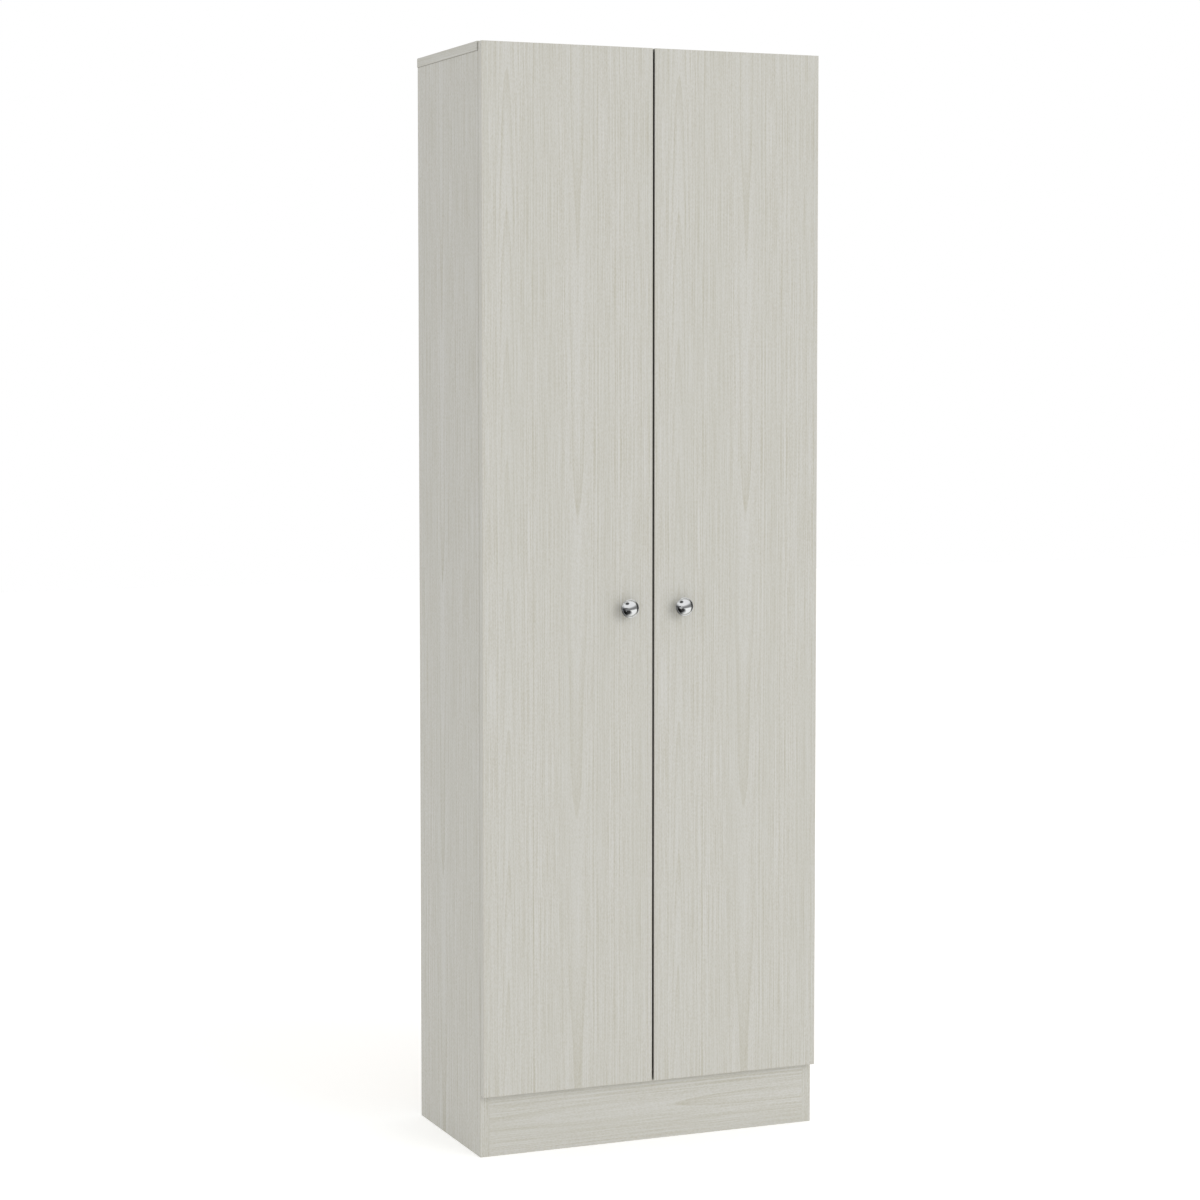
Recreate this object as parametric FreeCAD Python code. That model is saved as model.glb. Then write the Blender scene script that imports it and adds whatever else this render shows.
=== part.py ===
import FreeCAD, Part
import math
import os

os.makedirs("parts", exist_ok=True)

Vector = FreeCAD.Vector

# Lengths are in millimetres. +X is to the right of someone facing the doors,
# -Y is the front where the doors are, +Z is up, and the floor is at zero.

# Carcass boards
cabinet_height = 1800.0
carcass_width = 598.0
side_depth = 291.0
board = 15.0
top_overhang = 1.0
top_front_setback = 1.2
kick_height = 100.0
edge_ease = 0.5
top_edge_ease = 1.0

# Back panels of thin hardboard, nailed on from behind
back_thickness = 3.0
back_inset = 1.5
back_joint_gap = 1.0
nail_radius = 0.8
nail_length = 18.0
nail_head_radius = 2.4
nail_head_height = 0.8
nail_pitch = 150.0
nail_end_margin = 60.0

# Shelves
shelf_count = 5
shelves_under_fixed_count = 2
shelf_front_setback = 20.0
shelf_back_clearance = 1.0
shelf_side_clearance = 0.7
pin_radius = 2.5
pin_length = 16.0
pin_depth = 8.0
pin_collar_radius = 4.0
pin_collar_height = 1.0
pin_row_margin = 37.0
pin_row_pitch = 32.0
pin_row_steps = 2
pin_hole_depth = 10.0

# Cam locks, their bolts and the wooden dowels
cam_radius = 7.5
cam_height = 12.0
cam_inset = 34.0
cam_slot_width = 2.0
cam_slot_length = 8.0
cam_slot_depth = 2.5
cam_edge_margin = 45.0
bolt_thread_radius = 2.5
bolt_thread_length = 10.0
bolt_shaft_radius = 3.4
bolt_neck_radius = 2.0
bolt_head_radius = 3.2
bolt_head_length = 3.0
cap_radius = 8.6
cap_thickness = 0.9
dowel_radius = 4.0
dowel_length = 30.0
dowel_side_depth = 10.0
dowel_offset = 32.0
kick_dowel_share = 0.24

# Doors
door_thickness = 15.0
door_gap = 0.8
centre_gap = 3.6
door_drop = 1.0
door_bottom_lap = 1.5
door_edge_ease = 0.8
bumper_radius = 4.0
bumper_margin = 14.0

# Round knobs
knob_radius = 15.3
knob_base_radius = 8.0
knob_base_height = 1.6
knob_neck_radius = 5.6
knob_neck_height = 9.0
knob_rim_height = 18.0
knob_dome_height = 8.0
knob_rim_round = 1.4
knob_from_centre = 48.6
knob_centre_height = 889.5
knob_screw_radius = 2.0
knob_screw_grip = 8.0
knob_screw_head_radius = 4.0
knob_screw_head_height = 1.6

# Concealed hinges: places are measured inward from the cabinet's outer face
# and back from the front edges of the side panels
hinge_place_shares = [0.065, 0.36, 0.64, 0.935]
cup_radius = 17.5
cup_edge_distance = 3.5
cup_depth = 11.2
cup_wall = 0.9
cup_floor = 0.8
cup_bore_extra = 0.4
flange_thickness = 0.5
flange_radius = 18.9
ear_radius = 6.3
ear_inset = 9.5
ear_spread = 24.0
cup_screw_radius = 1.6
cup_screw_length = 11.0
cup_screw_head_radius = 3.0
cup_screw_head_height = 1.2

# Pivots of the two links, on the arm and in the cup
inner_arm_pivot_in = 11.1
inner_arm_pivot_back = 10.3
outer_arm_pivot_in = 12.4
outer_arm_pivot_front = 2.55
inner_cup_pivot_offset = 13.4
inner_cup_pivot_depth = 3.2
outer_cup_pivot_offset = 10.0
outer_cup_pivot_depth = 4.4

inner_link_half_thickness = 4.2
inner_link_half_width = 2.1
inner_link_hub_radius = 2.6
inner_link_eye_radius = 2.0
inner_elbow_in = 5.8
inner_elbow_front = 3.9
outer_elbow_in = 7.1
outer_elbow_front = 3.6
outer_link_plate = 1.4
outer_link_inner_face = 6.9
outer_link_half_width = 2.1
outer_link_eye_radius = 3.8
open_hole_radius = 2.5
open_hole_shift_in = 0.5
open_hole_shift_back = 0.5
arm_pin_radius = 1.25
cup_pin_radius = 1.0
pivot_clearance = 0.05
pin_overhang = 0.4
lug_thickness = 1.2
lug_radius = 2.0
lug_side_gap = 0.2

# Hinge arm, a folded channel, and the plate that it sits on
arm_wall = 1.2
arm_web = 1.3
arm_half_width = 9.8
arm_panel_gap = 3.0
arm_nose_radius = 3.1
arm_web_start = 6.0
arm_low_start = 5.0
arm_hump_end = 16.0
arm_slope_end = 30.0
arm_tail_height = 10.4
arm_length = 60.0
arm_screw_radius = 2.0
arm_screw_head_radius = 3.4
arm_screw_head_height = 1.8
arm_screw_tip_gap = 0.6
arm_screw_backs = [36.5, 50.0]
plate_thickness = 2.5
plate_front = 22.0
plate_back = 58.0
plate_wing_back = 37.0
plate_wing_radius = 8.0
plate_wing_spread = 18.0
plate_hole_spread = 16.0
saddle_front = 31.5
saddle_side_gap = 0.4
plate_screw_radius = 1.9
plate_screw_length = 13.0
plate_screw_head_radius = 3.5
plate_screw_head_height = 1.6

# Wall brackets against tipping, under the top panel at the back
bracket_width = 20.0
bracket_leg = 24.0
bracket_thickness = 2.0
bracket_from_centre = 150.0
bracket_hole_radius = 2.75
bracket_hole_drop = 15.0
bracket_screw_radius = 1.8
bracket_screw_length = 12.0
bracket_screw_head_radius = 3.4
bracket_screw_head_height = 1.6

# Cross-shaped recesses in the screw heads
recess_span_share = 1.2
recess_width = 0.9
recess_depth = 0.9

# General fits
bore_clearance = 0.05
overrun = 1.0
edge_tolerance = 0.01

# Places worked out from the sizes above
half_width = carcass_width / 2
inner_half = half_width - board
knob_reach = knob_rim_height + knob_dome_height
total_depth = knob_reach + door_thickness + door_gap + side_depth + back_thickness
total_depth = total_depth + nail_head_height
front_y = knob_reach + door_thickness + door_gap - total_depth / 2
back_y = front_y + side_depth
top_z = cabinet_height - board
floor_panel_top = kick_height + board
bay_height = (top_z - floor_panel_top - shelf_count * board) / (shelf_count + 1)
shelf_step = bay_height + board
fixed_place = shelves_under_fixed_count + 1
cam_front_y = front_y + cam_edge_margin
cam_back_y = back_y - cam_edge_margin
door_back_y = front_y - door_gap
door_front_y = door_back_y - door_thickness
door_bottom = kick_height + door_bottom_lap
door_top = cabinet_height - door_drop
door_height = door_top - door_bottom
hinge_heights = [door_bottom + share * door_height for share in hinge_place_shares]


def block(x_low, x_high, y_low, y_high, z_low, z_high):
    size = (x_high - x_low, y_high - y_low, z_high - z_low)
    return Part.makeBox(*size, Vector(x_low, y_low, z_low))


def rod(radius, start, end):
    path = Vector(*end) - Vector(*start)
    return Part.makeCylinder(radius, path.Length, Vector(*start), path)


def cut_all(shape, cutters):
    return shape.cut(Part.makeCompound(cutters)) if cutters else shape


def fuse_all(shapes):
    return shapes[0].multiFuse(shapes[1:]).removeSplitter()


def mirrored(shapes):
    return [shape.mirror(Vector(0, 0, 0), Vector(1, 0, 0)) for shape in shapes]


def solids_of(shapes):
    return [solid for shape in shapes for solid in shape.Solids]


def save(node, shapes):
    solids = solids_of(shapes)
    shape = solids[0] if len(solids) == 1 else Part.makeCompound(solids)
    shape.exportStep("parts/" + node + ".step")
    print(node, len(solids), "solids, valid", shape.isValid())


def cross_recess(seat, crown, head_radius):
    # two slots that cross at the crown and go down towards the seat
    half_span = head_radius * recess_span_share / 2
    inward = (Vector(*seat) - Vector(*crown)).normalize()
    screw_axis = [abs(share) > 0.5 for share in inward].index(True)
    slots = []
    for long_axis in range(3):
        if long_axis == screw_axis:
            continue
        sizes = []
        for axis in range(3):
            if axis == screw_axis:
                outer = crown[axis] - inward[axis] * overrun
                inner = crown[axis] + inward[axis] * recess_depth
                sizes += sorted((outer, inner))
            else:
                reach = half_span if axis == long_axis else recess_width / 2
                sizes += [crown[axis] - reach, crown[axis] + reach]
        slots.append(block(*sizes))
    return slots


def headed_screw(shank_radius, head_radius, tip, seat, crown):
    whole = fuse_all([rod(shank_radius, tip, seat), rod(head_radius, seat, crown)])
    return cut_all(whole, cross_recess(seat, crown, head_radius))


def edges_along(shape, direction, chosen):
    picked = []
    for edge in shape.Edges:
        run = edge.Vertexes[-1].Point - edge.Vertexes[0].Point
        if run.Length > 0 and abs(run.dot(direction)) > run.Length - edge_tolerance:
            if chosen(edge.CenterOfMass):
                picked.append(edge)
    return picked


def shelf_bottom(number):
    return floor_panel_top + number * shelf_step - board


def is_fixed(number):
    return number == fixed_place


# Rows of holes for the shelf pins: on each side panel, two rows for each loose shelf
def pin_row_places():
    return [front_y + shelf_front_setback + pin_row_margin, back_y - pin_row_margin]


def loose_shelf_numbers():
    return [number for number in range(1, shelf_count + 1) if not is_fixed(number)]


def pin_axis_height(number):
    return shelf_bottom(number) - pin_radius


def pin_holes_left():
    holes = []
    for number in loose_shelf_numbers():
        for step in range(-pin_row_steps, pin_row_steps + 1):
            z = pin_axis_height(number) + step * pin_row_pitch
            for y in pin_row_places():
                start = (-inner_half + overrun, y, z)
                end = (-inner_half - pin_hole_depth, y, z)
                holes.append(rod(pin_radius + bore_clearance, start, end))
    return holes


def shelf_pins_left():
    pins = []
    for number in loose_shelf_numbers():
        z = pin_axis_height(number)
        for y in pin_row_places():
            tip = (-inner_half - pin_depth, y, z)
            face = (-inner_half, y, z)
            collar_end = (-inner_half + pin_collar_height, y, z)
            end = (-inner_half - pin_depth + pin_length, y, z)
            pin = fuse_all([rod(pin_radius, tip, end), rod(pin_collar_radius, face, collar_end)])
            above = shelf_bottom(number)
            trim = block(-inner_half - pin_length, inner_half, y - pin_length, y + pin_length,
                         above, above + pin_length)
            pins.append(pin.cut(trim))
    return pins


# Joints of the boards. A flat board that ends at the left side panel has its
# cams in its underside; the bolts lie in the middle of the board's thickness.
def flat_board_heights():
    return [kick_height, shelf_bottom(fixed_place)]


def bolt_solid(origin, direction):
    # the bolt points from the face it is screwed into towards the cam's axis
    def at(distance):
        place = Vector(*origin) + direction * distance
        return (place.x, place.y, place.z)
    neck_start = cam_inset - cam_radius
    head_start = cam_inset - bolt_head_length / 2
    head_end = cam_inset + bolt_head_length / 2
    return fuse_all([
        rod(bolt_thread_radius, at(-bolt_thread_length), at(0)),
        rod(bolt_shaft_radius, at(0), at(neck_start)),
        rod(bolt_neck_radius, at(neck_start), at(head_start)),
        rod(bolt_head_radius, at(head_start), at(head_end)),
    ])


def bolt_bores(origin, direction):
    def at(distance):
        place = Vector(*origin) + direction * distance
        return (place.x, place.y, place.z)
    return [
        rod(bolt_thread_radius + bore_clearance, at(-bolt_thread_length - bore_clearance), at(0)),
        rod(bolt_shaft_radius + bore_clearance, at(0), at(cam_inset)),
    ]


def cam_solid(centre, axis, bolt_direction):
    # the cam's open face is at centre, and its body runs along axis into the board
    base = Vector(*centre)
    body = Part.makeCylinder(cam_radius - bore_clearance, cam_height, base, axis)
    across = axis.cross(bolt_direction)
    cuts = []
    for along, other in ((bolt_direction, across), (across, bolt_direction)):
        slot = Part.makeBox(cam_slot_length, cam_slot_width, 2 * cam_slot_depth)
        slot.translate(Vector(-cam_slot_length / 2, -cam_slot_width / 2, -cam_slot_depth))
        turn = FreeCAD.Rotation(along, other, along.cross(other), "XYZ")
        slot.Placement = FreeCAD.Placement(base, turn).multiply(slot.Placement)
        cuts.append(slot)
    middle = base + axis * (board / 2)
    way_in = bolt_head_radius + bore_clearance
    cuts.append(Part.makeCylinder(way_in, cam_radius + bolt_head_length, middle
                                  + bolt_direction * bolt_head_length, bolt_direction * -1))
    return cut_all(body, cuts)


def cam_bore(centre, axis):
    return Part.makeCylinder(cam_radius, cam_height + bore_clearance, Vector(*centre), axis)


def cap_solid(centre, axis):
    return Part.makeCylinder(cap_radius, cap_thickness, Vector(*centre), axis * -1)


def left_flat_joints():
    # bolts and cams of the bottom panel and the fixed shelf, at the left side
    joints = []
    for low in flat_board_heights():
        for y in (cam_front_y, cam_back_y):
            face = (-inner_half, y, low + board / 2)
            cam = (-inner_half + cam_inset, y, low)
            joints.append((face, Vector(1, 0, 0), cam, Vector(0, 0, 1)))
    return joints


def left_top_joints():
    # bolts hang from the top panel and cams lie in the side panel's inner face
    joints = []
    for y in (cam_front_y, cam_back_y):
        face = (-half_width + board / 2, y, top_z)
        cam = (-inner_half, y, top_z - cam_inset)
        joints.append((face, Vector(0, 0, -1), cam, Vector(-1, 0, 0)))
    return joints


def left_kick_joints():
    # one cam in the back of the kick panel at each end
    face = (-inner_half, front_y + board / 2, kick_height / 2)
    cam = (-inner_half + cam_inset, front_y + board, kick_height / 2)
    return [(face, Vector(1, 0, 0), cam, Vector(0, -1, 0))]


def left_joints():
    return left_flat_joints() + left_top_joints() + left_kick_joints()


def left_dowel_lines():
    # each line starts in the side panel, or for the top joint in the top panel
    lines = []
    for low in flat_board_heights():
        for y in (cam_front_y + dowel_offset, cam_back_y - dowel_offset):
            z = low + board / 2
            start = (-inner_half - dowel_side_depth, y, z)
            lines.append((start, (start[0] + dowel_length, y, z)))
    for y in (cam_front_y + dowel_offset, cam_back_y - dowel_offset):
        x = -half_width + board / 2
        start = (x, y, top_z + dowel_side_depth)
        lines.append((start, (x, y, start[2] - dowel_length)))
    for share in (kick_dowel_share, 1 - kick_dowel_share):
        y = front_y + board / 2
        z = kick_height * share
        start = (-inner_half - dowel_side_depth, y, z)
        lines.append((start, (start[0] + dowel_length, y, z)))
    return lines


def both_sides(shapes):
    return shapes + mirrored(shapes)


def left_joint_cutters():
    cutters = []
    for face, direction, cam, axis in left_joints():
        cutters += bolt_bores(face, direction)
        cutters.append(cam_bore(cam, axis))
    for start, end in left_dowel_lines():
        cutters.append(rod(dowel_radius + bore_clearance, start, end))
    return cutters


joint_cutters = both_sides(left_joint_cutters())


# Hinges, drawn for the left door about a local zero at the cabinet's outer
# face, the side panel's front edge and the hinge's own height
cup_centre = cup_edge_distance + cup_radius
inner_arm_pivot = (board + inner_arm_pivot_in, inner_arm_pivot_back)
outer_arm_pivot = (board + outer_arm_pivot_in, -outer_arm_pivot_front)
inner_cup_pivot = (cup_centre - inner_cup_pivot_offset, -door_gap - inner_cup_pivot_depth)
outer_cup_pivot = (cup_centre - outer_cup_pivot_offset, -door_gap - outer_cup_pivot_depth)
inner_elbow = (inner_cup_pivot[0] + inner_elbow_in, inner_cup_pivot[1] - inner_elbow_front)
outer_elbow = (outer_cup_pivot[0] + outer_elbow_in, outer_cup_pivot[1] - outer_elbow_front)
arm_top = outer_arm_pivot[0] + arm_nose_radius
arm_low = board + arm_panel_gap
arm_tail_top = board + arm_tail_height
saddle_top = arm_tail_top - arm_web
outer_link_outer_face = outer_link_inner_face + outer_link_plate
arm_inner_face = arm_half_width - arm_wall


def prism(points, low, high):
    corners = [Vector(x, y, low) for x, y in points]
    face = Part.Face(Part.makePolygon(corners + corners[:1]))
    return face.extrude(Vector(0, 0, high - low))


def disc(centre, radius, low, high):
    return rod(radius, (centre[0], centre[1], low), (centre[0], centre[1], high))


def bar(start, end, half, low, high):
    # a straight bar with round ends
    run = Vector(end[0] - start[0], end[1] - start[1], 0)
    side = Vector(-run.y, run.x, 0) * (half / run.Length)
    points = [
        (start[0] + side.x, start[1] + side.y),
        (end[0] + side.x, end[1] + side.y),
        (end[0] - side.x, end[1] - side.y),
        (start[0] - side.x, start[1] - side.y),
    ]
    return [prism(points, low, high), disc(start, half, low, high), disc(end, half, low, high)]


def inner_link():
    low, high = -inner_link_half_thickness, inner_link_half_thickness
    solid = fuse_all(
        bar(inner_arm_pivot, inner_elbow, inner_link_half_width, low, high)
        + bar(inner_elbow, inner_cup_pivot, inner_link_eye_radius, low, high)
        + [disc(inner_arm_pivot, inner_link_hub_radius, low, high)])
    holes = [
        disc(inner_arm_pivot, arm_pin_radius + pivot_clearance, low - overrun, high + overrun),
        disc(inner_cup_pivot, cup_pin_radius + pivot_clearance, low - overrun, high + overrun),
    ]
    return [cut_all(solid, holes)]


def outer_link_plates():
    eye = (outer_arm_pivot[0] - open_hole_shift_in, outer_arm_pivot[1] + open_hole_shift_back)
    plates = []
    for low, high in ((outer_link_inner_face, outer_link_outer_face),
                      (-outer_link_outer_face, -outer_link_inner_face)):
        solid = fuse_all(
            bar(outer_cup_pivot, outer_elbow, outer_link_half_width, low, high)
            + bar(outer_elbow, eye, outer_link_half_width, low, high)
            + [disc(eye, outer_link_eye_radius, low, high)])
        holes = [
            disc(outer_cup_pivot, cup_pin_radius + pivot_clearance, low - overrun, high + overrun),
            disc(eye, open_hole_radius, low - overrun, high + overrun),
        ]
        plates.append(cut_all(solid, holes))
    return plates


def arm_pins():
    reach = arm_half_width + pin_overhang
    start = outer_link_inner_face - pin_overhang
    return [
        disc(inner_arm_pivot, arm_pin_radius, -reach, reach),
        disc(outer_arm_pivot, arm_pin_radius, start, reach),
        disc(outer_arm_pivot, arm_pin_radius, -reach, -start),
    ]


def inner_lug_faces():
    low = inner_link_half_thickness + lug_side_gap
    return low, low + lug_thickness


def outer_lug_faces():
    low = outer_link_outer_face + lug_side_gap
    return low, low + lug_thickness


def cup_pins():
    inner_reach = inner_lug_faces()[1] + pin_overhang
    outer_reach = outer_lug_faces()[1] + pin_overhang
    outer_start = outer_link_inner_face - pin_overhang
    return [
        disc(inner_cup_pivot, cup_pin_radius, -inner_reach, inner_reach),
        disc(outer_cup_pivot, cup_pin_radius, outer_start, outer_reach),
        disc(outer_cup_pivot, cup_pin_radius, -outer_reach, -outer_start),
    ]


def hinge_arm():
    nose = outer_arm_pivot
    outline = [
        (arm_low, arm_low_start),
        (nose[0] - arm_nose_radius, nose[1]),
        (arm_top, nose[1]),
        (arm_top, arm_hump_end),
        (arm_tail_top, arm_slope_end),
        (arm_tail_top, arm_length),
        (arm_low, arm_length),
    ]
    strip = [
        (arm_top - arm_web, arm_web_start),
        (arm_top, arm_web_start),
        (arm_top, arm_hump_end),
        (arm_tail_top, arm_slope_end),
        (arm_tail_top, arm_length),
        (arm_tail_top - arm_web, arm_length),
        (arm_tail_top - arm_web, arm_slope_end),
        (arm_top - arm_web, arm_hump_end),
    ]
    pieces = [prism(strip, -arm_half_width, arm_half_width)]
    for low, high in ((arm_inner_face, arm_half_width), (-arm_half_width, -arm_inner_face)):
        pieces.append(prism(outline, low, high))
        pieces.append(disc(nose, arm_nose_radius, low, high))
    reach = arm_half_width + overrun
    holes = [disc(inner_arm_pivot, arm_pin_radius + bore_clearance, -reach, reach),
             disc(outer_arm_pivot, arm_pin_radius + bore_clearance, -reach, reach)]
    for back in arm_screw_backs:
        holes.append(rod(arm_screw_radius + bore_clearance,
                         (saddle_top - overrun, back, 0), (arm_tail_top + overrun, back, 0)))
    return cut_all(fuse_all(pieces), holes)


def arm_screws():
    screws = []
    for back in arm_screw_backs:
        tip = (board + plate_thickness + arm_screw_tip_gap, back, 0)
        seat = (arm_tail_top, back, 0)
        crown = (arm_tail_top + arm_screw_head_height, back, 0)
        screws.append(headed_screw(arm_screw_radius, arm_screw_head_radius, tip, seat, crown))
    return screws


def along_width(shape):
    # turn a shape drawn flat, with its height along +Z, so that its height
    # runs inward along +X and its drawn X runs along the hinge's axis
    turned = shape.copy()
    turned.rotate(Vector(0, 0, 0), Vector(0, 1, 0), 90)
    return turned


def mounting_plate():
    spread = (-plate_wing_spread, plate_wing_back), (plate_wing_spread, plate_wing_back)
    saddle_half = arm_inner_face - saddle_side_gap
    wings = [along_width(shape) for shape in
             bar(spread[0], spread[1], plate_wing_radius, board, board + plate_thickness)]
    base = block(board, board + plate_thickness, plate_front, plate_back,
                 -saddle_half, saddle_half)
    saddle = block(board, saddle_top, saddle_front, plate_back, -saddle_half, saddle_half)
    holes = []
    for z in (-plate_hole_spread, plate_hole_spread):
        holes.append(rod(plate_screw_radius + bore_clearance,
                         (board - overrun, plate_wing_back, z),
                         (board + plate_thickness + overrun, plate_wing_back, z)))
    for back in arm_screw_backs:
        holes.append(rod(arm_screw_radius + bore_clearance,
                         (board + plate_thickness + arm_screw_tip_gap - bore_clearance, back, 0),
                         (saddle_top + overrun, back, 0)))
    return cut_all(fuse_all(wings + [base, saddle]), holes)


def plate_screw_lines():
    lines = []
    for z in (-plate_hole_spread, plate_hole_spread):
        seat = board + plate_thickness
        lines.append(((seat - plate_screw_length, plate_wing_back, z), (seat, plate_wing_back, z)))
    return lines


def plate_screws():
    screws = []
    for tip, seat in plate_screw_lines():
        crown = (seat[0] + plate_screw_head_height, seat[1], seat[2])
        screws.append(headed_screw(plate_screw_radius, plate_screw_head_radius, tip, seat, crown))
    return screws


def plate_screw_holes():
    holes = []
    for tip, seat in plate_screw_lines():
        end = (tip[0] - bore_clearance, tip[1], tip[2])
        holes.append(rod(plate_screw_radius + bore_clearance, end, seat))
    return holes


def cup_screw_lines():
    lines = []
    seat_y = -door_gap + flange_thickness
    for z in (-ear_spread, ear_spread):
        x = cup_centre + ear_inset
        lines.append(((x, seat_y - cup_screw_length, z), (x, seat_y, z)))
    return lines


def cup_screws():
    screws = []
    for tip, seat in cup_screw_lines():
        crown = (seat[0], seat[1] + cup_screw_head_height, seat[2])
        screws.append(headed_screw(cup_screw_radius, cup_screw_head_radius, tip, seat, crown))
    return screws


def hinge_cup():
    face = -door_gap
    rim = face + flange_thickness
    shell = rod(cup_radius, (cup_centre, face - cup_depth, 0), (cup_centre, face, 0))
    ring = rod(flange_radius, (cup_centre, face, 0), (cup_centre, rim, 0))
    ear_x = cup_centre + ear_inset
    ears = [
        block(ear_x - ear_radius, ear_x + ear_radius, face, rim, -ear_spread, ear_spread),
        rod(ear_radius, (ear_x, face, -ear_spread), (ear_x, rim, -ear_spread)),
        rod(ear_radius, (ear_x, face, ear_spread), (ear_x, rim, ear_spread)),
    ]
    hollow = rod(cup_radius - cup_wall, (cup_centre, face - cup_depth + cup_floor, 0),
                 (cup_centre, rim + overrun, 0))
    cup = fuse_all([shell, ring] + ears).cut(hollow)
    floor_y = face - cup_depth + cup_floor / 2
    lugs = []
    for pivot, faces in ((inner_cup_pivot, inner_lug_faces()), (outer_cup_pivot, outer_lug_faces())):
        for low, high in (faces, (-faces[1], -faces[0])):
            lugs.append(block(pivot[0] - lug_radius, pivot[0] + lug_radius,
                              floor_y, pivot[1], low, high))
            lugs.append(disc(pivot, lug_radius, low, high))
    cup = fuse_all([cup] + lugs)
    reach = outer_lug_faces()[1] + overrun
    holes = [disc(inner_cup_pivot, cup_pin_radius + bore_clearance, -reach, reach),
             disc(outer_cup_pivot, cup_pin_radius + bore_clearance, -reach, reach)]
    for tip, seat in cup_screw_lines():
        end = (seat[0], seat[1] + overrun, seat[2])
        holes.append(rod(cup_screw_radius + bore_clearance, tip, end))
    return cut_all(cup, holes)


def door_hinge_holes():
    face = -door_gap
    holes = [rod(cup_radius + bore_clearance, (cup_centre, face - cup_depth - cup_bore_extra, 0),
                 (cup_centre, face + overrun, 0))]
    for tip, seat in cup_screw_lines():
        end = (tip[0], tip[1] - bore_clearance, tip[2])
        holes.append(rod(cup_screw_radius + bore_clearance, end, seat))
    return holes


def at_left_hinges(shapes):
    placed = []
    for height in hinge_heights:
        for shape in shapes:
            copy = shape.copy()
            copy.translate(Vector(-half_width, front_y, height))
            placed.append(copy)
    return placed


# Boards of the carcass
def left_side_panel():
    panel = block(-half_width, -inner_half, front_y, back_y, 0, top_z)
    front_edges = edges_along(panel, Vector(0, 0, 1), lambda c: c.y < front_y + board)
    panel = panel.makeFillet(edge_ease, front_edges)
    holes = left_joint_cutters() + pin_holes_left() + at_left_hinges(plate_screw_holes())
    return cut_all(panel, holes + nail_bores())


def top_panel():
    reach = half_width + top_overhang
    low_y = front_y + top_front_setback
    panel = block(-reach, reach, low_y, back_y, top_z, cabinet_height)
    rims = [edge for edge in panel.Edges if edge.CenterOfMass.z > cabinet_height - board / 4]
    panel = panel.makeFillet(top_edge_ease, rims)
    return cut_all(panel, joint_cutters + nail_bores() + bracket_screw_holes())


def bottom_panel():
    panel = block(-inner_half, inner_half, front_y, back_y, kick_height, floor_panel_top)
    return cut_all(panel, joint_cutters + nail_bores())


def kick_panel():
    panel = block(-inner_half, inner_half, front_y, front_y + board, 0, kick_height)
    return cut_all(panel, joint_cutters)


def fixed_shelf():
    low = shelf_bottom(fixed_place)
    panel = block(-inner_half, inner_half, front_y, back_y, low, low + board)
    return cut_all(panel, joint_cutters + nail_bores())


def loose_shelf(number):
    low = shelf_bottom(number)
    reach = inner_half - shelf_side_clearance
    low_y = front_y + shelf_front_setback
    panel = block(-reach, reach, low_y, back_y - shelf_back_clearance, low, low + board)
    front_edges = edges_along(panel, Vector(1, 0, 0), lambda c: c.y < low_y + board)
    return panel.makeFillet(edge_ease, front_edges)


# Back panels: they meet behind the middle of the fixed shelf
def back_spans():
    middle = shelf_bottom(fixed_place) + board / 2
    low = kick_height + back_inset
    high = cabinet_height - back_inset
    return {
        "lower_back_panel": (low, middle - back_joint_gap / 2),
        "upper_back_panel": (middle + back_joint_gap / 2, high),
    }


def spread_places(low, high, pitch):
    count = max(1, round((high - low) / pitch))
    return [low + (high - low) * index / count for index in range(count + 1)]


def nail_places():
    places = []
    side_x = half_width - board / 2
    for low, high in back_spans().values():
        for z in spread_places(low + nail_end_margin, high - nail_end_margin, nail_pitch):
            places += [(-side_x, z), (side_x, z)]
    rows = [kick_height + board / 2, cabinet_height - board / 2]
    quarter = board / 4
    middle = shelf_bottom(fixed_place) + board / 2
    rows += [middle - quarter, middle + quarter]
    inner_x = inner_half - nail_end_margin
    for z in rows:
        places += [(x, z) for x in spread_places(-inner_x, inner_x, nail_pitch)]
    return places


def nail_bores():
    bores = []
    for x, z in nail_places():
        start = (x, back_y + back_thickness + overrun, z)
        end = (x, back_y + back_thickness - nail_length - bore_clearance, z)
        bores.append(rod(nail_radius + bore_clearance, start, end))
    return bores


def back_nails():
    nails = []
    outside = back_y + back_thickness
    for x, z in nail_places():
        shank = rod(nail_radius, (x, outside - nail_length, z), (x, outside, z))
        head = rod(nail_head_radius, (x, outside, z), (x, outside + nail_head_height, z))
        nails.append(fuse_all([shank, head]))
    return nails


def back_panel(low, high):
    reach = half_width - back_inset
    panel = block(-reach, reach, back_y, back_y + back_thickness, low, high)
    holes = nail_bores()
    for x in (-bracket_from_centre, bracket_from_centre):
        z = top_z - bracket_hole_drop
        holes.append(rod(bracket_hole_radius, (x, back_y - overrun, z),
                         (x, back_y + back_thickness + overrun, z)))
    return cut_all(panel, holes)


# Wall brackets
def bracket_screw_places():
    y = back_y - bracket_leg / 2 - bracket_thickness / 2
    return [(x, y) for x in (-bracket_from_centre, bracket_from_centre)]


def bracket_screw_holes():
    holes = []
    for x, y in bracket_screw_places():
        seat = top_z - bracket_thickness
        holes.append(rod(bracket_screw_radius + bore_clearance, (x, y, seat - overrun),
                         (x, y, seat + bracket_screw_length + bore_clearance)))
    return holes


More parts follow.
